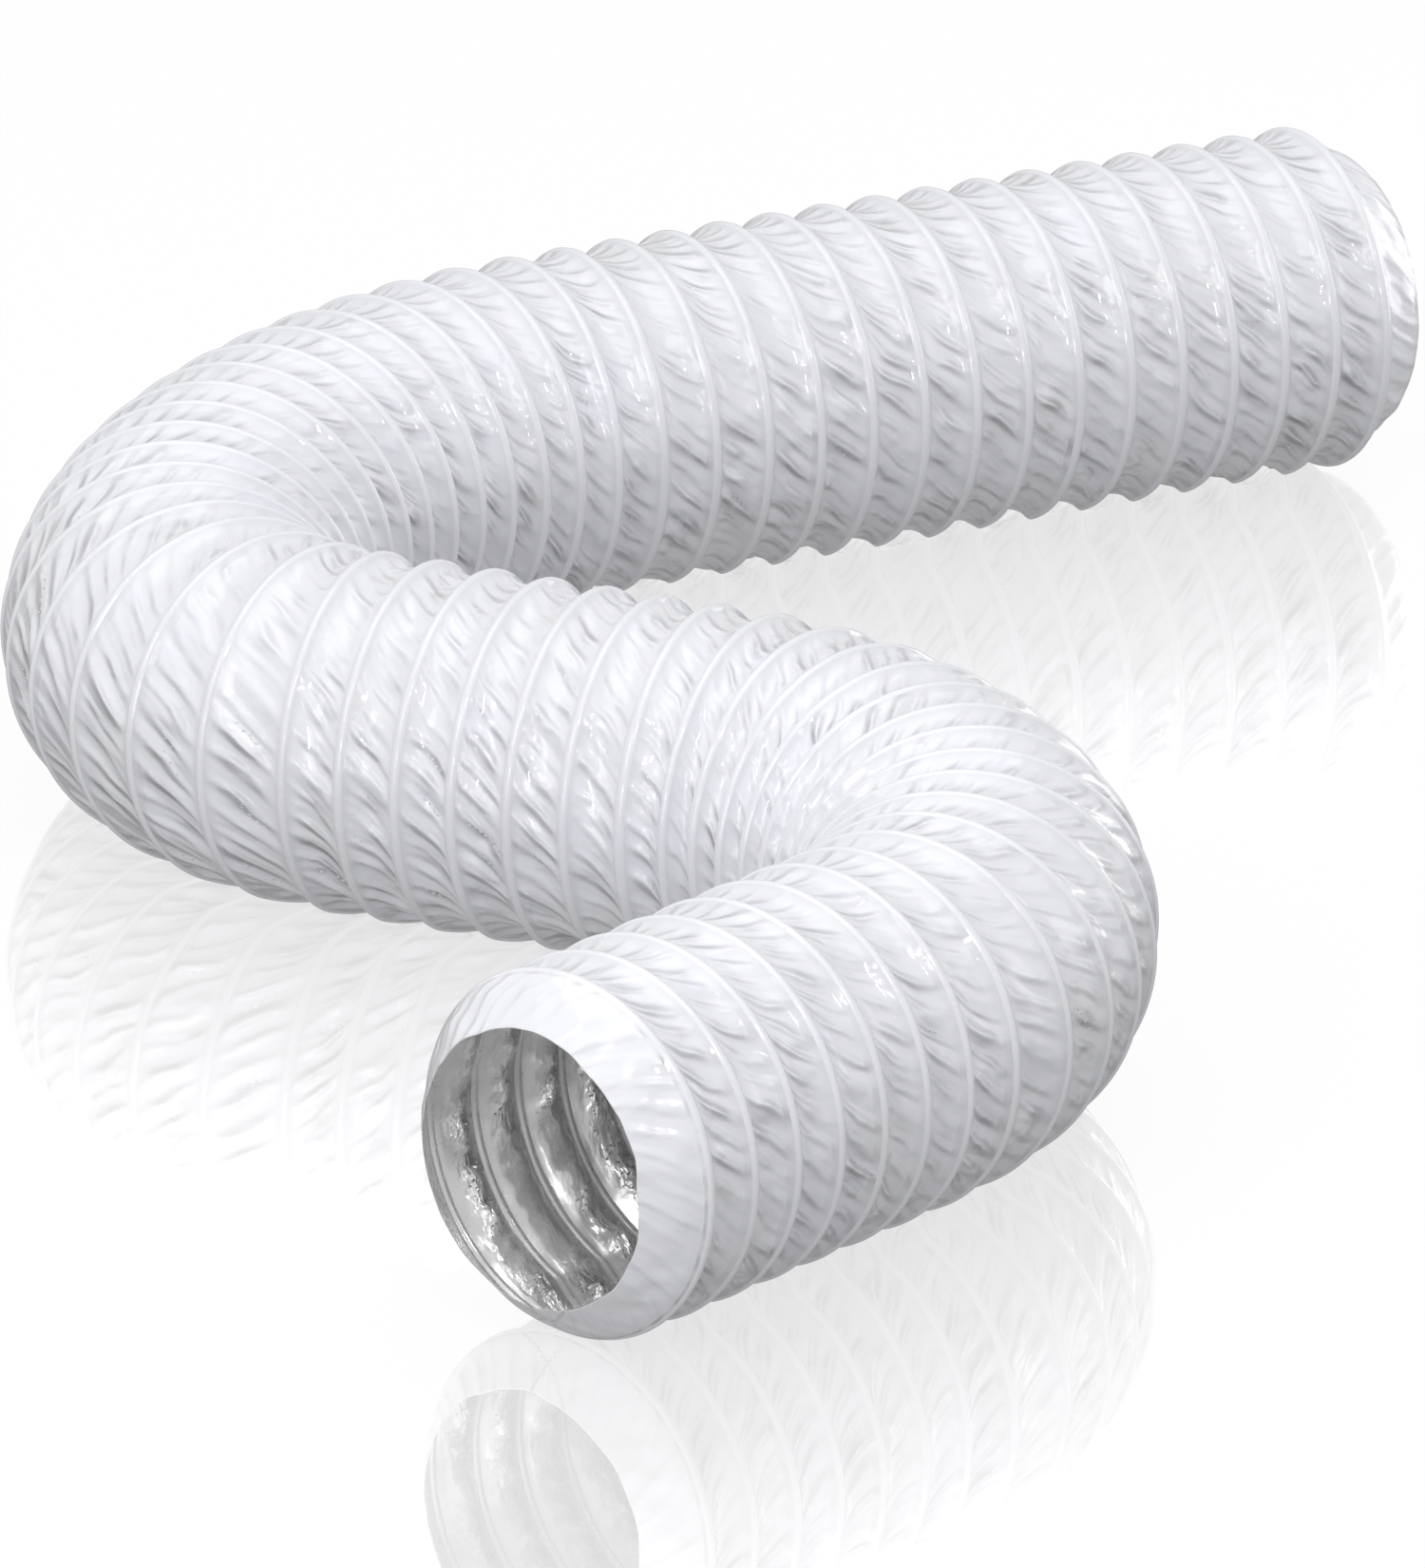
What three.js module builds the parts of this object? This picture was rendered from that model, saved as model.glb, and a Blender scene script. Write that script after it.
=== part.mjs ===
// A metre of flexible air duct, laid on a flat surface in a loose S.
//
// The duct has three real pieces: an outer sleeve of white PVC film, one spring-steel wire wound in a
// coil, and an inner liner of aluminium foil. Both skins are bonded over the wire, and past its last
// turn at each end they are drawn in as a short bare cuff. The turns of the wire stand square to the
// duct, and each steps over to the next one along the underside. A duct bends and stretches anywhere,
// so each piece is cut into the same sections, and the sections are what turn and slide on each other.
//
// Millimetres, +Z up. The far leg runs along X, the duct lies on z = 0, and the origin is the middle of
// the bottom of its bounding box.
import * as THREE from 'three';

// ---- driving dimensions ----

// The route of the centreline, from the far mouth to the near one. A leg is straight, with a length,
// or an arc, with a radius and a turn in degrees, positive to the left.
const LEGS = [
  { length: 273.2 },
  { radius: 203.5, turn: 62.8 },
  { radius: 92.6, turn: 65.5 },
  { length: 114.4 },
  { radius: 120.8, turn: -107.5 },
  { length: 136.7 },
];
const START_HEADING = 180;

const SPANS = 59; // skin spans between the first and the last turn of the wire
const STEP_OVER = 90; // degrees of the underside along which one turn steps over to the next
const CUFF_LENGTH = 16; // bare skin beyond the wire at each end
const CUFF_DROP = 12.7; // how far a cuff is drawn in at its rim

// Every tube here is a prism of SIDES flats with one flat underneath, and its radii are to the corners.
const SIDES = 16;
const FILM = { outer: 53.3, inner: 52.2 };
const LINER = { outer: 50.3, inner: 49.2 };
const WIRE = { radius: 51.25, half: 0.55 };
const CUFF_LAYERS = { film: [0, 1.1], liner: [1.5, 2.6] }; // depths of the skins below the cuff's face

const CUT_GAP = 0.6; // between the sections of one piece
const MAX_BEND_STEP = 9; // degrees turned by one straight step of a tube

// The sections between the two mouths, each with how many whole turns of the wire it holds. The first
// mouth holds MOUTH_TURNS.far turns, and every cut lies midway between two turns.
const MOUTH_TURNS = { far: 4, near: 2 };
const SECTIONS = [
  { name: 'far_concertina', turns: 4 },
  { name: 'far_run', turns: 7 },
  { name: 'left_bend_far', turns: 7 },
  { name: 'left_bend_near_1', turns: 5 },
  { name: 'left_bend_near_2', turns: 4 },
  { name: 'mid_run_1', turns: 4 },
  { name: 'mid_run_2', turns: 4 },
  { name: 'mid_run_3', turns: 4 },
  { name: 'right_bend_far', turns: 5 },
  { name: 'right_bend_near', turns: 5 },
  { name: 'near_run', turns: 2 },
  { name: 'near_concertina', turns: 3 },
];

const rad = THREE.MathUtils.degToRad;
const TAU = 2 * Math.PI;

const ROUTE = LEGS.map(({ length, radius, turn = 0 }) => {
  const size = length ?? radius * Math.abs(rad(turn));
  return { length: size, curvature: rad(turn) / size };
});
const TOTAL = ROUTE.reduce((sum, leg) => sum + leg.length, 0);
const PITCH = (TOTAL - 2 * CUFF_LENGTH) / SPANS;

// ---- the centreline ----

// The centre and the heading at a distance along the duct.
function place(distance) {
  const centre = new THREE.Vector3();
  let heading = rad(START_HEADING);
  let left = distance;
  for (const { length, curvature } of ROUTE) {
    const step = THREE.MathUtils.clamp(left, 0, length);
    const turned = heading + curvature * step;
    if (curvature === 0) {
      centre.x += step * Math.cos(heading);
      centre.y += step * Math.sin(heading);
    } else {
      centre.x += (Math.sin(turned) - Math.sin(heading)) / curvature;
      centre.y += (Math.cos(heading) - Math.cos(turned)) / curvature;
    }
    heading = turned;
    left -= step;
  }
  return { centre, heading };
}

// Turns of the wire are numbered from 0 at the far mouth to SPANS at the near one.
const atTurn = (turn) => CUFF_LENGTH + turn * PITCH;

// A point of the ring around the centreline: the angle runs from the duct's left side up and over.
function ringPoint(distance, radius, angle) {
  const { centre, heading } = place(distance);
  const across = radius * Math.cos(angle);
  return new THREE.Vector3(
    centre.x - across * Math.sin(heading),
    centre.y + across * Math.cos(heading),
    radius * Math.sin(angle),
  );
}

// The centreline of one section. Its points and frames are taken at even distances.
class Stretch extends THREE.Curve {
  constructor(from, to) {
    super();
    this.from = from;
    this.to = to;
    const turned = Math.abs(place(to).heading - place(from).heading);
    this.steps = Math.max(1, Math.ceil(turned / rad(MAX_BEND_STEP)));
  }

  getPoint(t) {
    return place(THREE.MathUtils.lerp(this.from, this.to, t)).centre;
  }

  getTangent(t) {
    const { heading } = place(THREE.MathUtils.lerp(this.from, this.to, t));
    return new THREE.Vector3(Math.cos(heading), Math.sin(heading), 0);
  }

  getUtoTmapping(u) {
    return u;
  }
}

// Where the wire is, in turns along the duct, after it has gone round so many times from the underside.
function wireTurn(round) {
  const whole = Math.round(round);
  const share = THREE.MathUtils.clamp((round - whole) * (360 / STEP_OVER), -0.5, 0.5);
  return THREE.MathUtils.clamp(whole + share - 0.5, 0, SPANS);
}

// The wire of some whole turns, with a corner at each corner of the tubes around it. It follows the
// straight steps of those tubes, so it keeps its distance from both skins.
class Winding extends THREE.Curve {
  constructor(stretch, firstTurn, turns) {
    super();
    this.stretch = stretch;
    this.firstStep = firstTurn * SIDES;
    this.steps = turns * SIDES - 1;
  }

  getPoint(t) {
    const step = this.firstStep + t * this.steps;
    const low = Math.floor(step + 1e-6);
    return this.corner(low).lerp(this.corner(low + 1), Math.max(0, step - low));
  }

  // Corner 0 is half a side past the bottom of the wire's first turn.
  corner(step) {
    const round = (step + 0.5) / SIDES;
    const angle = TAU * round - Math.PI / 2;
    const { from, to, steps } = this.stretch;
    const along = ((atTurn(wireTurn(round)) - from) / (to - from)) * steps;
    const low = THREE.MathUtils.clamp(Math.floor(along), 0, steps - 1);
    const station = (index) => ringPoint(from + ((to - from) * index) / steps, WIRE.radius, angle);
    return station(low).lerp(station(low + 1), along - low);
  }

  getUtoTmapping(u) {
    return u;
  }
}

// ---- the three materials ----

const MATERIALS = {
  film: () => new THREE.MeshStandardMaterial({ color: 0xf1f2f6, roughness: 0.35, metalness: 0 }),
  liner: () => new THREE.MeshStandardMaterial({ color: 0xb9babd, roughness: 0.3, metalness: 1 }),
  wire: () => new THREE.MeshStandardMaterial({ color: 0x8d9094, roughness: 0.35, metalness: 1 }),
};

const duct = new THREE.Group();

function addMesh(name, geometry, material) {
  const mesh = new THREE.Mesh(geometry, material());
  mesh.name = name;
  duct.add(mesh);
  return mesh;
}

// ---- sections ----

function polygon(radius, sides) {
  return Array.from({ length: sides }, (_, i) => {
    const angle = (TAU * (i + 0.5)) / sides;
    return new THREE.Vector2(radius * Math.cos(angle), radius * Math.sin(angle));
  });
}

function tube(stretch, { outer, inner }) {
  const section = new THREE.Shape(polygon(outer, SIDES));
  section.holes.push(new THREE.Path(polygon(inner, SIDES)));
  return new THREE.ExtrudeGeometry(section, { steps: stretch.steps, extrudePath: stretch });
}

function wire(stretch, firstTurn, turns) {
  const winding = new Winding(stretch, firstTurn, turns);
  const section = new THREE.Shape(polygon(WIRE.half, 3));
  return new THREE.ExtrudeGeometry(section, { steps: winding.steps, extrudePath: winding });
}

let firstTurn = MOUTH_TURNS.far;
for (const { name, turns } of SECTIONS) {
  const from = atTurn(firstTurn - 0.5) + CUT_GAP / 2;
  const stretch = new Stretch(from, from + turns * PITCH - CUT_GAP);
  addMesh(`outer_film_${name}`, tube(stretch, FILM), MATERIALS.film);
  addMesh(`foil_liner_${name}`, tube(stretch, LINER), MATERIALS.liner);
  addMesh(`spring_wire_${name}`, wire(stretch, firstTurn, turns), MATERIALS.wire);
  firstTurn += turns;
}

// ---- the two mouths ----

// The face of a mouth, from the cut that it starts at to the rim of its cuff: x is the radius and y the
// distance past the last turn of the wire. The cuff bends inwards along part of an ellipse.
const CUFF_STEPS = 4;
const CUFF_END = 62; // degrees round the ellipse, where 90 would lie square to the duct

function mouthFace(length, depthOnTube, depthInCuff) {
  const face = [new THREE.Vector2(FILM.outer - depthOnTube, -length)];
  face.push(new THREE.Vector2(FILM.outer - depthOnTube, 0));
  for (let i = 1; i <= CUFF_STEPS; i++) {
    const angle = (i / CUFF_STEPS) * rad(CUFF_END);
    const fall = (CUFF_DROP * (1 - Math.cos(angle))) / (1 - Math.cos(rad(CUFF_END)));
    const reach = (CUFF_LENGTH * Math.sin(angle)) / Math.sin(rad(CUFF_END));
    face.push(new THREE.Vector2(FILM.outer - depthInCuff - fall, reach));
  }
  return face;
}

function skin(length, { outer, inner }, [faceDepth, backDepth]) {
  const face = mouthFace(length, FILM.outer - outer, faceDepth);
  const back = mouthFace(length, FILM.outer - inner, backDepth).reverse();
  const profile = [...face, ...back, face[0].clone()];
  return new THREE.LatheGeometry(profile, SIDES, Math.PI / SIDES);
}

// The lathe turns about Y, so Y is laid along the duct, out of the mouth, and X is stood up.
function layMouth(mesh, turn, outward) {
  const { centre } = place(atTurn(turn));
  const up = new THREE.Vector3(0, 0, 1);
  const basis = new THREE.Matrix4().makeBasis(up, outward, up.clone().cross(outward));
  mesh.quaternion.setFromRotationMatrix(basis);
  mesh.position.copy(centre);
}

function addMouth(name, { turns, firstTurn, endTurn, sign }) {
  const length = (turns - 0.5) * PITCH - CUT_GAP / 2;
  const { heading } = place(atTurn(endTurn));
  const outward = new THREE.Vector3(Math.cos(heading), Math.sin(heading), 0).multiplyScalar(sign);
  const film = addMesh(`outer_film_${name}`, skin(length, FILM, CUFF_LAYERS.film), MATERIALS.film);
  const foil = addMesh(`foil_liner_${name}`, skin(length, LINER, CUFF_LAYERS.liner), MATERIALS.liner);
  layMouth(film, endTurn, outward);
  layMouth(foil, endTurn, outward);
  const stretch = new Stretch(atTurn(firstTurn - 0.5), atTurn(firstTurn + turns - 0.5));
  addMesh(`spring_wire_${name}`, wire(stretch, firstTurn, turns), MATERIALS.wire);
}

const { far, near } = MOUTH_TURNS;
addMouth('far_mouth', { turns: far, firstTurn: 0, endTurn: 0, sign: -1 });
addMouth('near_mouth', { turns: near, firstTurn: SPANS + 1 - near, endTurn: SPANS, sign: 1 });

// ---- the origin, under the middle of the bounding box ----

duct.updateMatrixWorld(true);
const box = new THREE.Box3().setFromObject(duct, true);
duct.position.set(-(box.min.x + box.max.x) / 2, -(box.min.y + box.max.y) / 2, -box.min.z);

export default duct;
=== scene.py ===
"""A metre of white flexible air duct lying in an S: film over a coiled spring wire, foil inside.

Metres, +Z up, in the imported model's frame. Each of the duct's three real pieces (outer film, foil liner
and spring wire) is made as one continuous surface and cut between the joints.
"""
import math

import bmesh
import bpy
import numpy as np
from mathutils import Matrix, Vector


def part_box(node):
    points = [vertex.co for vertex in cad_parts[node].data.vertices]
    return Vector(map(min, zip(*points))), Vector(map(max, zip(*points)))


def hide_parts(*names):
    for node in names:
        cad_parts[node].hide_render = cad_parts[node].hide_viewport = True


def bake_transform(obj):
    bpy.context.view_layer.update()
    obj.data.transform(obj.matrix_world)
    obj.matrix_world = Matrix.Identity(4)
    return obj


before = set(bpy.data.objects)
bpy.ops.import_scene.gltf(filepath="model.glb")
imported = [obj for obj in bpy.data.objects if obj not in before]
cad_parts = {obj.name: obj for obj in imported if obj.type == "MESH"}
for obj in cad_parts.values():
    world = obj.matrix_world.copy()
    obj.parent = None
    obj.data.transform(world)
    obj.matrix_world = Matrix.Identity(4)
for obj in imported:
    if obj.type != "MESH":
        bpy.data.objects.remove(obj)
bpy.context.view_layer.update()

MM = 0.001
TAU = 2 * math.pi

# ---- the route, repeated from the CAD ----


def arc(radius_mm, degrees):
    """Length and turn of a bend."""
    return radius_mm * MM * abs(math.radians(degrees)), math.radians(degrees)


# Each leg is (length, turn) in metres and radians, from the far mouth to the near one.
LEGS = [
    (273.2 * MM, 0.0),
    arc(203.5, 62.8),
    arc(92.6, 65.5),
    (114.4 * MM, 0.0),
    arc(120.8, -107.5),
    (136.7 * MM, 0.0),
]
START_HEADING = math.pi
LENGTH = sum(length for length, _ in LEGS)
SPANS = 59
CUFF = 16 * MM
PITCH = (LENGTH - 2 * CUFF) / SPANS
STEP_OVER = 46.0  # degrees of the underside along which one turn of wire steps over to the next

CREST = 53.0 * MM  # radius over the wire
far_low, far_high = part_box("outer_film_far_mouth")
START = np.array([far_high[0], (far_low[1] + far_high[1]) / 2])
AXIS_HEIGHT = CREST  # the duct lies on the floor


def at_turn(turn):
    return CUFF + np.asarray(turn, float) * PITCH


def place(distance):
    """Centre x and y, heading and curvature at distances along the duct."""
    distance = np.asarray(distance, float)
    x = np.full(distance.shape, START[0])
    y = np.full(distance.shape, START[1])
    heading = np.full(distance.shape, START_HEADING)
    bend = np.zeros(distance.shape)
    begin = 0.0
    for number, (length, turn) in enumerate(LEGS):
        high = np.inf if number == len(LEGS) - 1 else length
        low = -np.inf if number == 0 else 0.0
        step = np.clip(distance - begin, low, high)
        curvature = turn / length
        turned = heading + curvature * step
        if curvature:
            x = x + (np.sin(turned) - np.sin(heading)) / curvature
            y = y + (np.cos(heading) - np.cos(turned)) / curvature
            bend = np.where((distance > begin) & (distance <= begin + length), curvature, bend)
        else:
            x = x + step * np.cos(heading)
            y = y + step * np.sin(heading)
        heading = turned
        begin += length
    return x, y, heading, bend


def ring_points(distance, angle, radius):
    """Points round the centreline; the angle runs from the duct's left side up and over."""
    x, y, heading, _ = place(distance)
    across = radius * np.cos(angle)
    return np.stack(
        [x - across * np.sin(heading), y + across * np.cos(heading), AXIS_HEIGHT + radius * np.sin(angle)],
        axis=-1,
    )


FINE_STEPS = 4000
FINE = np.linspace(0, LENGTH, FINE_STEPS)
EASE = 30 * MM  # reach of the easing at each end of a bend


def eased_bend(distance):
    """Curvature at close steps along the duct, eased in and out of each bend."""
    window = np.hanning(2 * int(EASE / (LENGTH / FINE_STEPS)) + 1)
    padded = np.pad(place(distance)[3], len(window) // 2, mode="edge")
    return np.convolve(padded, window / window.sum(), "valid")


EASED_BEND = eased_bend(FINE)


def wall_stretch(distance, angle):
    """Length along the wall at an angle for each unit along the centreline."""
    return 1 - np.interp(distance, FINE, EASED_BEND) * CREST * np.cos(angle)


# ---- noise ----


def lattice(seed, rows, columns):
    """A table of random values from -1 to 1, with its rows along the duct and its columns round it."""
    return np.random.default_rng(seed).uniform(-1, 1, (rows, columns))


def smooth_step(share):
    return share * share * (3 - 2 * share)


def value_noise(table, row, column):
    """Smooth noise from a table, wrapping round in its columns and held at its first and last rows."""
    rows, columns = table.shape
    row = np.clip(row, 0, rows - 1.001)
    this_row = np.floor(row).astype(int)
    this_column = np.floor(column).astype(int)
    down = smooth_step(row - this_row)
    across = smooth_step(column - this_column)
    next_row = np.minimum(this_row + 1, rows - 1)
    next_column = (this_column + 1) % columns
    this_column = this_column % columns
    low = table[this_row, this_column] * (1 - across) + table[this_row, next_column] * across
    high = table[next_row, this_column] * (1 - across) + table[next_row, next_column] * across
    return low * (1 - down) + high * down


# ---- the shape of the skins ----

# How far the film lies below its crest, from the middle of a wire out to the crease beside it.
BEAD_X = np.array([0, 0.35, 0.7, 0.95, 1.15, 1.3, 1.45]) * MM
BEAD_FALL = np.array([0, 0.05, 0.2, 0.38, 0.56, 0.7, 0.8]) * MM
BEAD_HALF = BEAD_X[-1]
EDGE_FALL = BEAD_FALL[-1]
BEAD_ROWS = np.array([-1.45, -1.15, -0.75, 0.0, 0.75, 1.15, 1.45]) * MM  # rows over each turn of the wire
SPAN_ROWS = 9  # rows between one bead and the next
UNDERSIDE = -math.pi / 2

FILM_THICKNESS = 0.12 * MM
FOIL_THICKNESS = 0.10 * MM
WIRE_RADIUS = 0.55 * MM
WIRE_GAP = 0.03 * MM  # between the wire and the film over it
LAYER_GAP = 0.08 * MM  # between the film and the liner
WIRE_BED = 1.2 * MM  # how far the liner stands in over a wire
WIRE_BED_HALF = 1.5 * MM  # and how far to each side of it
AT_WIRE = 1e-7  # a place this close before a turn of wire, in turns, counts as at it


def shift_of(past):
    """How far the wire has moved along, in turns, at an angle past the underside from 0 to 2 pi."""
    zone = math.radians(STEP_OVER)
    leaving = np.clip(past / zone, 0, 0.5) - 0.5
    arriving = np.clip((past - TAU) / zone + 0.5, 0, 0.5)
    return leaving + arriving


def supports(turn, past):
    """The turns of wire on either side of a place."""
    shift = shift_of(past)
    below = np.floor(turn - shift + AT_WIRE) + shift
    return np.maximum(below, 0), np.minimum(below + 1, SPANS)


SAG = 3.2 * MM  # how far the film hangs in between two turns that lie SAG_PITCH apart
SAG_PITCH = 17.76 * MM
SAG_PACKED = 0.05  # added for each unit by which the turns lie closer
SAG_SPREAD = 0.16  # taken off for each unit by which they lie further apart
SAG_LEAST = 0.9 * MM
SAG_MOST = 4.2 * MM


def sag_depth(pitch):
    """How far the film hangs in between two turns: less where a bend stretches it."""
    slack = SAG_PITCH - pitch
    return np.clip(SAG + slack * np.where(slack > 0, SAG_PACKED, SAG_SPREAD), SAG_LEAST, SAG_MOST)


PUCKER_COLUMNS = (38, 60, 92)
PUCKERS = [lattice(11 + i, SPANS + 3, columns) for i, columns in enumerate(PUCKER_COLUMNS)]
PUCKER_HEIGHT = (0.5, 0.5, 0.22)  # mm
PUCKER_LEAN = (0.8, 1.0, 0.9)  # distance round the duct for each unit along it
PUCKER_EDGE = 2.4  # how steeply a pucker rises
PUCKER_SHIFT = 17.31  # columns by which one span's puckers are out of step with the last one's
SLACKNESS = lattice(5, SPANS * 2 + 6, 17)
BOW = lattice(6, SPANS + 3, 23)
BOW_DEPTH = 2.2 * MM  # how far a pucker curves out of its line
FULL_GAP = 15 * MM  # turns closer than this leave less slack film between them


def slackness(turn, angle, gap, share):
    """How loose the film is: none at the wires, more low down, less where a bend packs it."""
    envelope = np.sin(math.pi * np.clip(share, 0, 1)) ** 0.55
    patch = value_noise(SLACKNESS, turn * 2 + 2, angle / TAU * SLACKNESS.shape[1])
    loose = np.clip(1.05 + 0.6 * patch, 0.25, 1.5)
    low_down = 1.0 - 0.28 * np.sin(angle)
    tight = np.clip(gap / FULL_GAP, 0.3, 1.0)
    return envelope * loose * low_down * tight


def puckers(turn, angle, x, gap, share):
    """Diagonal puckers of the slack film, leaning with the wire's hand."""
    around = CREST * angle
    span = np.floor(turn)
    bow = BOW_DEPTH * value_noise(BOW, span + 1, angle / TAU * BOW.shape[1]) * np.sin(TAU * share)
    total = 0
    for table, height, lean in zip(PUCKERS, PUCKER_HEIGHT, PUCKER_LEAN):
        columns = table.shape[1]
        column = (around + bow - lean * (x - gap / 2)) / (TAU * CREST) * columns + span * PUCKER_SHIFT
        row = np.clip(span + 1 + 0.5 * (share - 0.5), 0, SPANS + 2)
        total = total + height * MM * np.tanh(PUCKER_EDGE * value_noise(table, row, column))
    return total


def skin_fall(turn, past):
    """How far the film's outer face lies below the crest, with its place in its span and its slackness."""
    low, high = supports(turn, past)
    angle = past + UNDERSIDE
    pitch = PITCH * wall_stretch(at_turn(turn), angle)
    before = (turn - low) * pitch
    after = (high - turn) * pitch
    near = np.minimum(before, after)
    gap = (high - low) * pitch
    share = np.clip((before - BEAD_HALF) / np.maximum(gap - 2 * BEAD_HALF, 0.2 * MM), 0, 1)
    hang = (4 * share * (1 - share)) ** 0.75 * sag_depth(pitch) * np.clip(high - low, 0, 1) ** 1.5
    fall = np.where(near < BEAD_HALF, np.interp(near, BEAD_X, BEAD_FALL), EDGE_FALL + hang)
    slack = np.where(near < BEAD_HALF, 0, slackness(turn, angle, gap, share))
    return fall - slack * puckers(turn, angle, before, gap, share), near, share, before, gap, slack


BIG_DENTS = lattice(91, (SPANS + 2) * 2, 46)
SMALL_DENTS = lattice(92, (SPANS + 2) * 3, 88)
BIG_DENT = 1.3  # mm
SMALL_DENT = 1.25  # mm
DENT_EDGE = 8  # how steeply a small dent falls
DENT_LEAN = 0.4  # distance round the duct for each unit along it
DENT_BAND = 0.24  # half-width of the row of dents, as a share of the span


def foil_dents(turn, past, x, gap, share):
    """Dents where the foil has been crushed inwards, in a row along the middle of each span."""
    around = past - DENT_LEAN * (x - gap / 2) / CREST
    span = np.floor(turn)
    big_column = around / TAU * BIG_DENTS.shape[1] + span * 3.3
    small_column = around / TAU * SMALL_DENTS.shape[1] + span * 9.1
    big = value_noise(BIG_DENTS, (span + 1) * 2 + 0.8 * share, big_column)
    small = value_noise(SMALL_DENTS, (span + 1) * 3 + 2.0 * share, small_column)
    middle = np.exp(-(((share - 0.5) / DENT_BAND) ** 2))
    dent = 0.5 + 0.5 * np.tanh(DENT_EDGE * (small - 0.15))
    return (np.clip(big, 0, 1) * BIG_DENT + dent * SMALL_DENT) * middle * MM


# ---- cuffs: bare skin beyond the last turn, drawn inwards ----

CUFF_DROP = 12.7 * MM  # how far in the rim lies from the crest
CUFF_ROWS = 16
CUFF_SLACK = 0.32  # how puckered the cuffs are, beside 1 for a slack span
CUFF_WAVES = lattice(71, 8, 29)
CUFF_RIPPLES = lattice(72, 8, 61)
CUFF_RAGGED = 0.35 * MM  # how far the cut edge strays
# How far in the cuff's face lies, as a share of its drop, along its length.
CUFF_X = np.array([0, 0.08, 0.2, 0.4, 0.6, 0.8, 1.0])
CUFF_Y = {
    "far": np.array([0, 0.24, 0.38, 0.47, 0.58, 0.74, 1.0]),
    "near": np.array([0, 0.06, 0.15, 0.34, 0.55, 0.77, 1.0]),
}
CUFF_REACH = {"far": 17.6 * MM, "near": 15.7 * MM}


def cuff_face(end, share, past):
    """Fall and reach of a cuff at a share of the way from the last bead to its rim."""
    row = share * 2 + (0 if end == "far" else 4)
    drop = EDGE_FALL + (CUFF_DROP - EDGE_FALL) * np.interp(share, CUFF_X, CUFF_Y[end])
    wave = value_noise(CUFF_WAVES, row, past / TAU * CUFF_WAVES.shape[1] + share * 1.1)
    fine = value_noise(CUFF_RIPPLES, row, past / TAU * CUFF_RIPPLES.shape[1] + share * 1.7)
    ripple = (0.9 * wave + 0.4 * fine) * MM * np.clip(share * 2.5, 0, 1) * np.clip(1.5 - share, 0.5, 1)
    ragged = CUFF_RAGGED * wave * share
    return drop + ripple, BEAD_HALF + (CUFF_REACH[end] - BEAD_HALF) * share + ragged


# ---- grids ----

PIECE_ENDS = [0, 11, 18, 26, 36, 45, 50, 54, SPANS]  # the turns of wire where the skins are cut
PAIRS = [
    ("far_run", "far_mouth"),
    ("left_bend_far", "far_run"),
    ("left_bend_near", "left_bend_far"),
    ("mid_run", "left_bend_near"),
    ("mid_run", "right_bend_far"),
    ("right_bend_far", "right_bend_near"),
    ("right_bend_near", "near_run"),
    ("near_run", "near_mouth"),
]
NAMES = [
    "far_end",
    "far_lift",
    "left_bend_wide",
    "left_bend_tight",
    "right_bend_first",
    "right_bend_second",
    "near_lift",
    "near_end",
]
# The model's parts that each piece stands in for, and hides.
NODES = {
    "far_end": ["far_mouth", "far_concertina"],
    "far_lift": ["far_run"],
    "left_bend_wide": ["left_bend_far"],
    "left_bend_tight": ["left_bend_near_1", "left_bend_near_2"],
    "right_bend_first": ["mid_run_1", "mid_run_2", "mid_run_3"],
    "right_bend_second": ["right_bend_far"],
    "near_lift": ["right_bend_near"],
    "near_end": ["near_run", "near_concertina", "near_mouth"],
}


def rows_between(first, last):
    """Rows of a piece, each with its turn of wire, kind and value.

    The rows follow the wire, so that a row's far end meets the start of the row one turn further on.
    """
    rows = []
    for turn in range(first - (first == 0), last + 1 + (last == SPANS)):
        rows += [(turn, "bead", x) for x in BEAD_ROWS]
        rows += [(turn, "span", (i + 1) / (SPAN_ROWS + 1)) for i in range(SPAN_ROWS)]
    rows = rows[:-SPAN_ROWS]
    return rows if first == 0 else rows[len(BEAD_ROWS) - 1 :]


def bead_place(turn, past, x):
    """Distance along the duct of a bead row, squeezed up against its neighbours at the two ends."""
    centre = np.clip(turn + shift_of(past), 0, SPANS)
    stretch = wall_stretch(at_turn(centre), past + UNDERSIDE)
    distance = at_turn(centre) + x / stretch
    if turn < 0:
        distance = np.minimum(distance, bead_place(0, past, -BEAD_HALF))
    if turn > SPANS:
        distance = np.maximum(distance, bead_place(SPANS, past, BEAD_HALF))
    return distance


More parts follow.
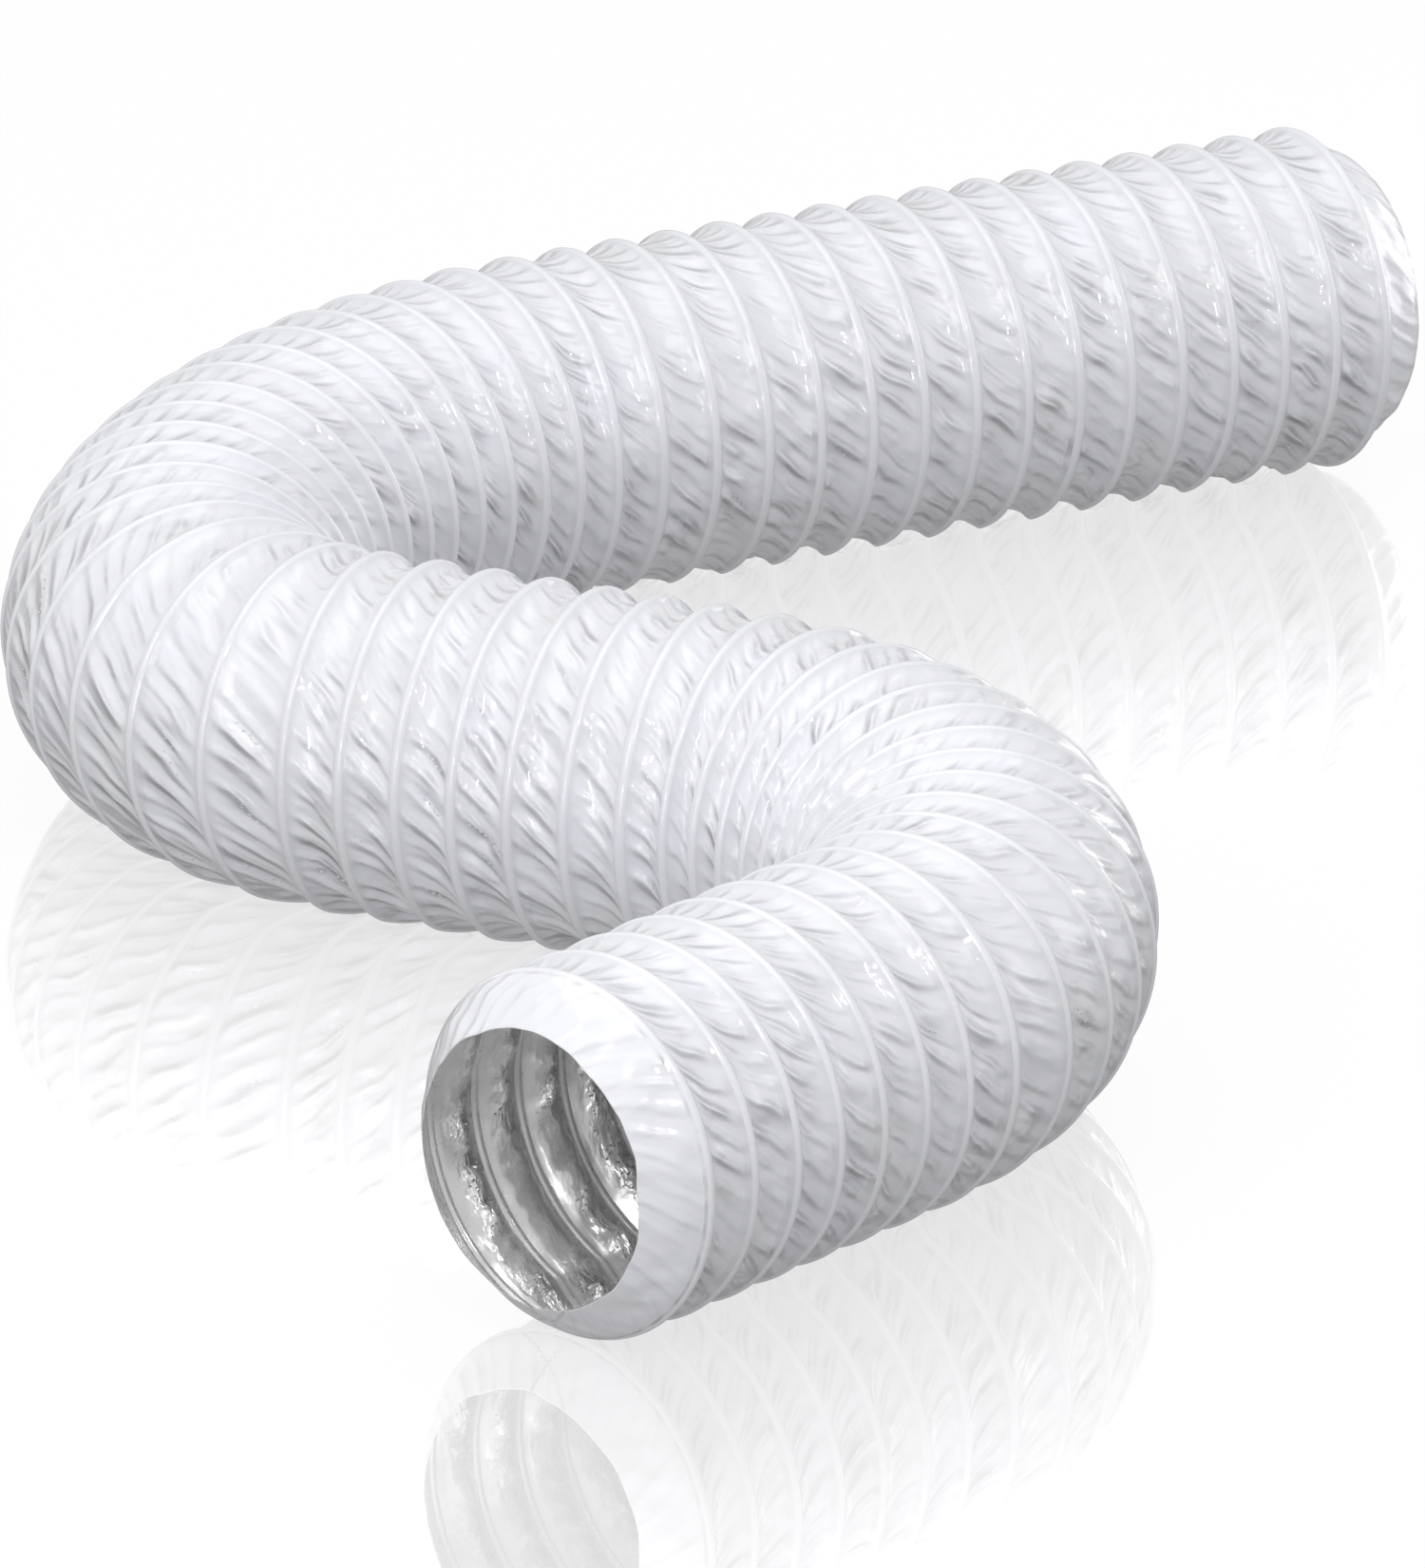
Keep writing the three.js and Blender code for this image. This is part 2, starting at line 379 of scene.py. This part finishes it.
def skin_rows(first, last, past, layer):
    """Rows of a skin: its outer and inner face, distance along the duct, crease marks and slackness."""
    outer, inner, along, creases, slacks = [], [], [], [], []

    def add_row(distance, fall, crease, slack):
        thick = FILM_THICKNESS if layer == "film" else FOIL_THICKNESS
        angle = past + UNDERSIDE
        outer.append(ring_points(distance, angle, CREST - fall))
        inner.append(ring_points(distance, angle, CREST - fall - thick))
        along.append(distance * np.ones_like(past))
        creases.append(np.full(past.shape, crease))
        slacks.append(slack * np.ones_like(past))

    def cuff(end):
        steps = [(i + 1) / CUFF_ROWS for i in range(CUFF_ROWS)]
        for share in steps[::-1] if end == "far" else steps:
            fall, reach = cuff_face(end, share * np.ones_like(past), past)
            if layer == "foil":
                fall = fall + FILM_THICKNESS + LAYER_GAP
            distance = at_turn(0) - reach if end == "far" else at_turn(SPANS) + reach
            add_row(distance, fall, False, CUFF_SLACK)

    if first == 0:
        cuff("far")
    for turn, kind, value in rows_between(first, last):
        if kind == "bead":
            distance = bead_place(turn, past, value)
        else:
            start = bead_place(turn, past, BEAD_HALF)
            end = bead_place(turn + 1, past, -BEAD_HALF)
            distance = start + (end - start) * value
        place_turn = (distance - CUFF) / PITCH
        inside = np.clip(place_turn, 0, SPANS)
        fall, near, share, before, gap, slack = skin_fall(inside, past)
        out = np.abs(place_turn - inside) * PITCH
        fall = np.where(out > 0, np.interp(out, BEAD_X, BEAD_FALL), fall)
        near = np.where(out > 0, out, near)
        if layer == "foil":
            over_wire = WIRE_BED * (0.5 + 0.5 * np.cos(math.pi * np.clip(near / WIRE_BED_HALF, 0, 1)))
            free = np.where(near > BEAD_HALF, foil_dents(inside, past, before, gap, share), 0)
            bed = EDGE_FALL + FILM_THICKNESS + LAYER_GAP
            fall = np.where(near > BEAD_HALF, fall + bed - EDGE_FALL + free, bed + over_wire)
        add_row(distance, fall, kind == "bead" and abs(value) == BEAD_HALF, slack)
    if last == SPANS:
        cuff("near")
    return [np.array(part) for part in (outer, inner, along, creases, slacks)]


# ---- building meshes ----


WELD = 2e-6  # points closer than this are joined
SPAN_PHASE = 2.399  # how far the puckers' phase moves on from one span to the next


def grid_quads(rows, columns, outward):
    row, column = np.meshgrid(np.arange(rows - 1), np.arange(columns - 1), indexing="ij")
    a = row * columns + column
    quads = np.stack([a, a + 1, a + columns + 1, a + columns], axis=-1).reshape(-1, 4)
    return quads if outward else quads[:, ::-1]


def fill_mesh(mesh, points, corners, starts):
    mesh.vertices.add(len(points))
    mesh.vertices.foreach_set("co", np.asarray(points, np.float32).ravel())
    mesh.loops.add(len(corners))
    mesh.loops.foreach_set("vertex_index", corners.astype(np.int32))
    mesh.polygons.add(len(starts))
    mesh.polygons.foreach_set("loop_start", starts.astype(np.int32))
    mesh.update(calc_edges=True)


def read_mesh(mesh):
    corners = np.empty(len(mesh.loops), np.int32)
    mesh.loops.foreach_get("vertex_index", corners)
    starts = np.empty(len(mesh.polygons), np.int32)
    mesh.polygons.foreach_get("loop_start", starts)
    totals = np.empty(len(mesh.polygons), np.int32)
    mesh.polygons.foreach_get("loop_total", totals)
    return corners, starts, totals


def new_object(name, mesh, material):
    mesh.polygons.foreach_set("use_smooth", np.ones(len(mesh.polygons), bool))
    mesh.materials.append(material)
    obj = bpy.data.objects.new(name, mesh)
    bpy.context.scene.collection.objects.link(obj)
    return obj


def add_uv(mesh, uv):
    layer = mesh.uv_layers.new(name="wall")
    layer.data.foreach_set("uv", np.asarray(uv, np.float32).ravel())


def welded_sheet(points, quads, uv):
    """A sheet with its touching rows and columns joined.

    Gives its corners, where each polygon starts, their corner counts, the UVs and which points are kept.
    """
    mesh = bpy.data.meshes.new("sheet")
    fill_mesh(mesh, points, quads.ravel(), np.arange(len(quads)) * 4)
    add_uv(mesh, uv[quads.ravel()])
    number = mesh.attributes.new("number", "INT", "POINT")
    number.data.foreach_set("value", np.arange(len(points), dtype=np.int32))
    work = bmesh.new()
    work.from_mesh(mesh)
    bmesh.ops.remove_doubles(work, verts=work.verts, dist=WELD)
    bmesh.ops.dissolve_degenerate(work, dist=WELD / 2, edges=work.edges)
    loose = [v for v in work.verts if not v.link_faces]
    bmesh.ops.delete(work, geom=loose, context="VERTS")
    work.to_mesh(mesh)
    work.free()
    corners, starts, totals = read_mesh(mesh)
    kept = np.empty(len(mesh.vertices), np.int32)
    mesh.attributes["number"].data.foreach_get("value", kept)
    corner_uv = np.empty(len(mesh.loops) * 2, np.float32)
    mesh.uv_layers["wall"].data.foreach_get("uv", corner_uv)
    bpy.data.meshes.remove(mesh)
    return corners, starts, totals, corner_uv.reshape(-1, 2), kept


def shell(name, outer, inner, along, creases, slacks, past, material):
    """A closed thin shell between a skin's outer and inner face."""
    rows, columns = outer.shape[:2]
    around = np.broadcast_to(CREST * past, (rows, columns))
    uv = np.stack([along.ravel(), around.ravel()], axis=-1)
    quads = grid_quads(rows, columns, True)
    corners, starts, totals, corner_uv, kept = welded_sheet(outer.reshape(-1, 3), quads, uv)
    count = len(kept)
    points = np.concatenate([outer.reshape(-1, 3)[kept], inner.reshape(-1, 3)[kept]])

    # The inner face is the same sheet turned over.
    polygon = np.repeat(np.arange(len(starts)), totals)
    within = np.arange(len(corners)) - starts[polygon]
    turned = starts[polygon] + totals[polygon] - 1 - within
    inner_corners = corners[turned] + count

    # A hem joins the two along the open edges.
    following = starts[polygon] + (within + 1) % totals[polygon]
    a, b = corners, corners[following]
    low, high = np.minimum(a, b).astype(np.int64), np.maximum(a, b).astype(np.int64)
    _, where, uses = np.unique(low * (count + 1) + high, return_inverse=True, return_counts=True)
    open_edge = uses[where] == 1
    oa, ob = a[open_edge], b[open_edge]
    hem = np.stack([ob, oa, oa + count, ob + count], axis=-1)
    hem_uv = np.stack([corner_uv[following][open_edge], corner_uv[open_edge]] * 2, axis=1)
    hem_uv = hem_uv[:, [0, 1, 3, 2]]

    all_corners = np.concatenate([corners, inner_corners, hem.ravel()])
    all_totals = np.concatenate([totals, totals, np.full(len(hem), 4)])
    all_starts = np.concatenate([[0], np.cumsum(all_totals)[:-1]])
    mesh = bpy.data.meshes.new(name)
    fill_mesh(mesh, points, all_corners, all_starts)
    add_uv(mesh, np.concatenate([corner_uv, corner_uv[turned], hem_uv.reshape(-1, 2)]))

    # Creases beside the wires and the hems are sharp.
    edge = np.empty(len(mesh.edges) * 2, np.int32)
    mesh.edges.foreach_get("vertices", edge)
    edge = edge.reshape(-1, 2)
    mark = np.tile(creases.ravel()[kept], 2)
    rim = np.zeros(2 * count, bool)
    rim[hem.ravel()] = True
    sharp = (mark[edge[:, 0]] & mark[edge[:, 1]]) | (rim[edge[:, 0]] & rim[edge[:, 1]])
    mesh.attributes.new("sharp_edge", "BOOLEAN", "EDGE").data.foreach_set("value", sharp)

    # The materials read how creased and how slack the skin is, and the phase of its span; the film paints
    # shade along its creases.
    mesh.attributes.new("crease", "FLOAT", "POINT").data.foreach_set("value", mark.astype(np.float32))
    slack = np.tile(slacks.ravel()[kept], 2).astype(np.float32)
    mesh.attributes.new("slack", "FLOAT", "POINT").data.foreach_set("value", slack)
    span = np.floor((along.ravel()[kept] - CUFF) / PITCH - shift_of(around.ravel()[kept] / CREST))
    phase = np.tile((span * SPAN_PHASE) % 1.0 * TAU * 3, 2).astype(np.float32)
    mesh.attributes.new("phase", "FLOAT", "POINT").data.foreach_set("value", phase)
    return new_object(name, mesh, material)


# ---- materials ----


def nodes_of(name):
    """A new material with its node tree and its surface shader."""
    material = bpy.data.materials.new(name)
    material.use_nodes = True
    tree = material.node_tree
    shader = tree.nodes["Principled BSDF"]
    return material, tree, shader


def link(tree, source, target):
    tree.links.new(source, target)


def add_node(tree, kind, **values):
    node = tree.nodes.new(kind)
    for key, value in values.items():
        setattr(node, key, value)
    return node


def wall_noise(tree, scale, detail, long=1.0, lean=0.0, roughness=0.5):
    """Noise on the unrolled wall, drawn out along a direction that leans round the duct."""
    uv = add_node(tree, "ShaderNodeUVMap", uv_map="wall")
    turned = add_node(tree, "ShaderNodeMapping")
    turned.inputs["Rotation"].default_value = (0, 0, -lean)
    drawn = add_node(tree, "ShaderNodeMapping")
    drawn.inputs["Scale"].default_value = (1 / long, 1, 1)
    noise = add_node(tree, "ShaderNodeTexNoise")
    noise.inputs["Scale"].default_value = scale
    noise.inputs["Detail"].default_value = detail
    noise.inputs["Roughness"].default_value = roughness
    link(tree, uv.outputs["UV"], turned.inputs["Vector"])
    link(tree, turned.outputs["Vector"], drawn.inputs["Vector"])
    link(tree, drawn.outputs["Vector"], noise.inputs["Vector"])
    return noise


def wall_waves(tree, length, lean):
    """Rolling puckers of about one length on the unrolled wall, out of step from span to span."""
    uv = add_node(tree, "ShaderNodeUVMap", uv_map="wall")
    turned = add_node(tree, "ShaderNodeMapping")
    turned.inputs["Rotation"].default_value = (0, 0, -lean)
    waves = add_node(tree, "ShaderNodeTexWave", wave_type="BANDS", bands_direction="Y", wave_profile="SIN")
    waves.inputs["Scale"].default_value = TAU / (20 * length)
    waves.inputs["Distortion"].default_value = 3.0
    waves.inputs["Detail"].default_value = 1.0
    waves.inputs["Detail Scale"].default_value = 1.1
    link(tree, uv.outputs["UV"], turned.inputs["Vector"])
    link(tree, turned.outputs["Vector"], waves.inputs["Vector"])
    link(tree, attribute(tree, "phase"), waves.inputs["Phase Offset"])
    return waves.outputs["Fac"]


def attribute(tree, name):
    """A value that the mesh carries at each point."""
    return add_node(tree, "ShaderNodeAttribute", attribute_name=name).outputs["Fac"]


def times(tree, first, second):
    return combine(tree, "MULTIPLY", first, second)


def add(tree, first, second):
    return combine(tree, "ADD", first, second)


def combine(tree, operation, first, second):
    """Arithmetic on an output and either another output or a number."""
    node = add_node(tree, "ShaderNodeMath", operation=operation)
    link(tree, first, node.inputs[0])
    if isinstance(second, float):
        node.inputs[1].default_value = second
    else:
        link(tree, second, node.inputs[1])
    return node.outputs[0]


def ramp(tree, source, stops):
    """Grey values or colours laid along a value."""
    node = add_node(tree, "ShaderNodeValToRGB")
    elements = node.color_ramp.elements
    while len(elements) < len(stops):
        elements.new(0.5)
    for element, (position, value) in zip(elements, stops):
        element.position = position
        element.color = (*value, 1) if isinstance(value, tuple) else (value, value, value, 1)
    link(tree, source, node.inputs["Fac"])
    return node


def bump(tree, height, strength, distance, normal=None):
    """Relief that changes the shading only."""
    node = add_node(tree, "ShaderNodeBump")
    node.inputs["Strength"].default_value = strength
    node.inputs["Distance"].default_value = distance
    link(tree, height, node.inputs["Height"])
    if normal is not None:
        link(tree, normal, node.inputs["Normal"])
    return node


FILM_LEAN = math.radians(42)
FILM_TINT = ((0.855, 0.86, 0.895), (0.885, 0.89, 0.95))
# A grey painted along the creases beside the wires as shade.
CREASE_SHADE_GREY = (0.5, 0.505, 0.53, 1)
FOIL_TINT = ((0.92, 0.92, 0.925), (0.98, 0.98, 0.985))
WIRE_TINT = ((0.42, 0.43, 0.45), (0.6, 0.61, 0.63))


def film_material():
    """White vinyl film: glossy, faintly lilac, puckered where it is slack, with painted shade darkening
    its creases.
    """
    material, tree, shader = nodes_of("outer_film")
    streaks = wall_noise(tree, 120, 1.5, long=3.0, lean=FILM_LEAN, roughness=0.4)
    short_waves = combine(tree, "POWER", wall_waves(tree, 6.4 * MM, math.radians(43)), 2.0)
    long_waves = combine(tree, "POWER", wall_waves(tree, 9.6 * MM, math.radians(38)), 2.0)
    rolling = add(tree, times(tree, short_waves, 0.55), times(tree, long_waves, 0.35))
    uneven = wall_noise(tree, 95, 1, long=1.0)
    patchy = ramp(tree, uneven.outputs["Fac"], [(0.35, 0.5), (0.6, 1.0)])
    rolling = times(tree, rolling, patchy.outputs["Color"])
    height = add(tree, rolling, times(tree, streaks.outputs["Fac"], 0.6))
    slack_height = times(tree, height, attribute(tree, "slack"))
    puckered = bump(tree, slack_height, strength=1.0, distance=2.3 * MM)
    grain = wall_noise(tree, 480, 2, long=1.6, lean=FILM_LEAN)
    grained = bump(tree, grain.outputs["Fac"], 0.8, 0.16 * MM, puckered.outputs["Normal"])
    link(tree, grained.outputs["Normal"], shader.inputs["Normal"])
    blotch = wall_noise(tree, 30, 3)
    tint = ramp(tree, blotch.outputs["Fac"], [(0.35, FILM_TINT[0]), (0.65, FILM_TINT[1])])
    # Painted shade: the tint is mixed a little towards grey where the crease mark is set.
    shaded = add_node(tree, "ShaderNodeMix", data_type="RGBA")
    link(tree, times(tree, attribute(tree, "crease"), 0.18), shaded.inputs["Factor"])
    link(tree, tint.outputs["Color"], shaded.inputs["A"])
    shaded.inputs["B"].default_value = CREASE_SHADE_GREY
    link(tree, shaded.outputs["Result"], shader.inputs["Base Color"])
    gloss = ramp(tree, streaks.outputs["Fac"], [(0.3, 0.18), (0.7, 0.28)])
    link(tree, gloss.outputs["Color"], shader.inputs["Roughness"])
    shader.inputs["IOR"].default_value = 1.62
    shader.inputs["Coat Weight"].default_value = 0.8
    shader.inputs["Coat Roughness"].default_value = 0.06
    return material


def foil_material():
    """Thin aluminium foil, satin between the wires and crinkled where it has been crushed."""
    material, tree, shader = nodes_of("foil_liner")
    crush = wall_noise(tree, 230, 3, long=2.0, lean=math.radians(75), roughness=0.5)
    middle = combine(tree, "POWER", attribute(tree, "slack"), 3.0)
    crushed = times(tree, crush.outputs["Fac"], middle)
    crinkled = bump(tree, crushed, strength=1.0, distance=2.0 * MM)
    drawn = wall_noise(tree, 420, 2, long=9.0, lean=math.radians(90))
    satin = bump(tree, drawn.outputs["Fac"], 0.3, 0.2 * MM, crinkled.outputs["Normal"])
    link(tree, satin.outputs["Normal"], shader.inputs["Normal"])
    shade = ramp(tree, crush.outputs["Fac"], [(0.35, FOIL_TINT[0]), (0.65, FOIL_TINT[1])])
    link(tree, shade.outputs["Color"], shader.inputs["Base Color"])
    shader.inputs["Metallic"].default_value = 0.5
    gloss = ramp(tree, crush.outputs["Fac"], [(0.3, 0.18), (0.7, 0.32)])
    link(tree, gloss.outputs["Color"], shader.inputs["Roughness"])
    return material


def wire_material():
    """Bright drawn steel wire."""
    material, tree, shader = nodes_of("spring_wire")
    drawn = wall_noise(tree, 900, 2, long=20.0)
    shade = ramp(tree, drawn.outputs["Fac"], [(0.3, WIRE_TINT[0]), (0.7, WIRE_TINT[1])])
    link(tree, shade.outputs["Color"], shader.inputs["Base Color"])
    shader.inputs["Metallic"].default_value = 1.0
    shader.inputs["Roughness"].default_value = 0.3
    return material


# ---- the pieces ----

FILM_COLUMNS = 320
FOIL_COLUMNS = 288
WIRE_STEPS = 72  # steps in one turn of wire
WIRE_SIDES = 8


def bend_piece(obj, index):
    """Bakes a piece's placement into its mesh."""
    if index in (0, len(PAIRS) - 1):
        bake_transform(obj)
        return
    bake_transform(obj)


def wire_piece(name, first, last, material):
    """The wire between two cuts: square turns that step over to the next along the underside."""
    begin = first if first == 0 else first + 0.5
    end = last + 1 if last == SPANS else last + 0.5
    count = int(round((end - begin) * WIRE_STEPS)) + 1
    rounds = np.linspace(begin, end, count)
    whole = np.floor(rounds)
    turn = np.clip(whole + shift_of(TAU * (rounds - whole)), 0, SPANS)
    angle = UNDERSIDE + TAU * rounds
    radius = CREST - FILM_THICKNESS - WIRE_GAP - WIRE_RADIUS
    middle = ring_points(at_turn(turn), angle, radius)
    outward = (ring_points(at_turn(turn), angle, radius + MM) - middle) / MM
    ahead = np.gradient(middle, axis=0)
    ahead /= np.linalg.norm(ahead, axis=1, keepdims=True)
    side = np.cross(ahead, outward)
    side /= np.linalg.norm(side, axis=1, keepdims=True)
    up = np.cross(side, ahead)
    rim = TAU * np.arange(WIRE_SIDES + 1) / WIRE_SIDES
    points = middle[:, None] + WIRE_RADIUS * (
        np.cos(rim)[None, :, None] * side[:, None] + np.sin(rim)[None, :, None] * up[:, None]
    )
    along = (TAU * CREST * rounds)[:, None]
    around = (rim * WIRE_RADIUS)[None, :]
    uv = np.stack(np.broadcast_arrays(along, around), axis=-1)
    quads = grid_quads(count, WIRE_SIDES + 1, False)
    corners, starts, _, corner_uv, kept = welded_sheet(points.reshape(-1, 3), quads, uv.reshape(-1, 2))
    mesh = bpy.data.meshes.new(name)
    fill_mesh(mesh, points.reshape(-1, 3)[kept], corners, starts)
    add_uv(mesh, corner_uv)
    cap = bmesh.new()
    cap.from_mesh(mesh)
    bmesh.ops.holes_fill(cap, edges=[e for e in cap.edges if e.is_boundary], sides=WIRE_SIDES)
    bmesh.ops.recalc_face_normals(cap, faces=cap.faces)
    cap.to_mesh(mesh)
    cap.free()
    return new_object(name, mesh, material)


def build_duct():
    """Film, liner and wire of each stretch of the duct."""
    film = film_material()
    foil = foil_material()
    wire = wire_material()
    film_past = np.linspace(0, TAU, FILM_COLUMNS + 1)
    foil_past = np.linspace(0, TAU, FOIL_COLUMNS + 1)
    for index, name in enumerate(NAMES):
        first, last = PIECE_ENDS[index], PIECE_ENDS[index + 1]
        film_rows = skin_rows(first, last, film_past, "film")
        foil_rows = skin_rows(first, last, foil_past, "foil")
        film_piece = shell(f"film_{name}", *film_rows, film_past, film)
        foil_piece = shell(f"liner_{name}", *foil_rows, foil_past, foil)
        coil = wire_piece(f"wire_{name}", first, last, wire)
        layers = {"outer_film": film_piece, "foil_liner": foil_piece, "spring_wire": coil}
        for layer, piece in layers.items():
            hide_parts(*[f"{layer}_{section}" for section in NODES[name]])
            bend_piece(piece, index)


build_duct()

# ---- floor, light and camera ----

FLOOR_SIZE = 60.0
DOME_RADIUS = 25.0
SKY = 0.67  # brightness of the studio above the floor
UNDER = 0.36  # and below it
FLOOR_GLOW = 1.89
BACKDROP_GLOW = 1.02
MIRROR = 0.6  # share of the floor's light that is a mirror image
SHADOWED = 0.08  # share that takes shadows


def camera_only(obj):
    """The stage shows to the camera, and neither lights the duct nor shows in it."""
    obj.visible_diffuse = False
    obj.visible_glossy = False
    obj.visible_transmission = False
    obj.visible_shadow = False


def glow(tree, strength):
    node = add_node(tree, "ShaderNodeEmission")
    node.inputs["Strength"].default_value = strength
    return node


def build_floor():
    """A white glossy studio floor and backdrop."""
    bpy.ops.mesh.primitive_plane_add(size=FLOOR_SIZE, location=(0, 0, 0))
    floor = bpy.context.object
    floor.name = "floor"
    material, tree, shader = nodes_of("floor")
    tree.nodes.remove(shader)
    glossy = add_node(tree, "ShaderNodeBsdfGlossy")
    glossy.inputs["Roughness"].default_value = 0.02
    matt = add_node(tree, "ShaderNodeBsdfDiffuse")
    matt.inputs["Color"].default_value = (0.9, 0.9, 0.9, 1)
    white = glow(tree, FLOOR_GLOW)
    first = add_node(tree, "ShaderNodeMixShader")
    first.inputs[0].default_value = SHADOWED / (1 - MIRROR)
    link(tree, white.outputs[0], first.inputs[1])
    link(tree, matt.outputs[0], first.inputs[2])
    second = add_node(tree, "ShaderNodeMixShader")
    second.inputs[0].default_value = MIRROR
    link(tree, first.outputs[0], second.inputs[1])
    link(tree, glossy.outputs[0], second.inputs[2])
    link(tree, second.outputs[0], tree.nodes["Material Output"].inputs["Surface"])
    floor.data.materials.append(material)
    camera_only(floor)

    bpy.ops.mesh.primitive_uv_sphere_add(segments=64, ring_count=32, radius=DOME_RADIUS)
    dome = bpy.context.object
    dome.name = "backdrop"
    material, tree, shader = nodes_of("backdrop")
    tree.nodes.remove(shader)
    link(tree, glow(tree, BACKDROP_GLOW).outputs[0], tree.nodes["Material Output"].inputs["Surface"])
    dome.data.materials.append(material)
    camera_only(dome)


def build_light():
    """A bright studio, darker below the floor, with soft boxes round the duct and at its two mouths."""
    world = bpy.data.worlds.new("studio")
    bpy.context.scene.world = world
    world.use_nodes = True
    tree = world.node_tree
    direction = add_node(tree, "ShaderNodeTexCoord")
    split = add_node(tree, "ShaderNodeSeparateXYZ")
    link(tree, direction.outputs["Generated"], split.inputs[0])
    height = add_node(tree, "ShaderNodeMapRange", interpolation_type="SMOOTHSTEP")
    height.inputs["From Min"].default_value = -0.35
    height.inputs["From Max"].default_value = 0.1
    height.inputs["To Min"].default_value = UNDER
    height.inputs["To Max"].default_value = SKY
    link(tree, split.outputs["Z"], height.inputs["Value"])
    background = tree.nodes["Background"]
    link(tree, height.outputs["Result"], background.inputs["Strength"])
    background.inputs["Color"].default_value = (1, 1, 1, 1)

    away = Vector((math.cos(VIEW_HEADING), math.sin(VIEW_HEADING), 0))
    right = Vector((away.y, -away.x, 0))
    up = Vector((0, 0, 1))
    middle = Vector((0, 0, 0))
    key = (-right * 0.6 - away * 0.75 + up * 0.7).normalized() * 2.6
    glint = (right * 0.15 - away * 0.75 + up * 0.75).normalized() * 2.4
    low = (-right * 0.35 - away * 0.9 + up * 0.25).normalized() * 2.4
    far = (right * 0.9 + away * 0.2 + up * 0.3).normalized() * 2.4
    soft_box("key", key, middle, size=0.8, watts=6.5)
    soft_box("glint", glint, middle, size=0.22, watts=4.5)
    soft_box("low", low, middle, size=0.18, watts=2.2)
    soft_box("top", up * 2.4 - right * 0.3, middle, size=2.4, watts=15.5)
    soft_box("far", far, middle, size=0.8, watts=2)
    x, y, heading, _ = place(LENGTH)
    mouth = Vector((float(x), float(y), AXIS_HEIGHT))
    ahead = Vector((math.cos(heading), math.sin(heading), 0.15))
    soft_box("mouth", mouth + ahead * 0.6, mouth, size=0.25, watts=0.45)
    far_mouth = Vector((float(START[0]), float(START[1]), AXIS_HEIGHT))
    soft_box("far_mouth", far_mouth + Vector((0.3, 0, 0.06)), far_mouth, size=0.25, watts=0.3)


def soft_box(name, position, target, size, watts):
    """A square light that faces its target and doesn't show to the camera."""
    data = bpy.data.lights.new(name, "AREA")
    data.shape = "SQUARE"
    data.size = size
    data.energy = watts
    light = bpy.data.objects.new(name, data)
    turn = (position - target).to_track_quat("Z", "Y").to_matrix().to_4x4()
    light.matrix_world = Matrix.Translation(position) @ turn
    light.visible_camera = False
    bpy.context.scene.collection.objects.link(light)


# The camera looks along a heading, from above, with a long lens.
VIEW_HEADING = math.radians(62.8)
VIEW_DROP = math.radians(20.7)
VIEW_DISTANCE = 99.9 * CREST
LENS = 423.3
SENSOR = 36
# Where the camera looks: to the right of the near mouth and beyond it.
AIM_RIGHT = 0.937 * CREST
AIM_AWAY = 5.607 * CREST


def build_camera():
    mouth_x, mouth_y, _, _ = place(LENGTH)
    away = Vector((math.cos(VIEW_HEADING), math.sin(VIEW_HEADING), 0))
    right = Vector((away.y, -away.x, 0))
    target = Vector((float(mouth_x), float(mouth_y), AXIS_HEIGHT))
    target += right * AIM_RIGHT + away * AIM_AWAY
    forward = away * math.cos(VIEW_DROP) - Vector((0, 0, 1)) * math.sin(VIEW_DROP)
    up = right.cross(forward)
    data = bpy.data.cameras.new("camera")
    data.lens = LENS
    data.sensor_width = SENSOR
    data.clip_end = 100
    camera = bpy.data.objects.new("camera", data)
    basis = Matrix((right, up, -forward)).transposed().to_4x4()
    camera.matrix_world = Matrix.Translation(target - forward * VIEW_DISTANCE) @ basis
    bpy.context.scene.collection.objects.link(camera)
    bpy.context.scene.camera = camera


build_floor()
build_light()
build_camera()
bpy.context.scene.view_settings.view_transform = "Standard"
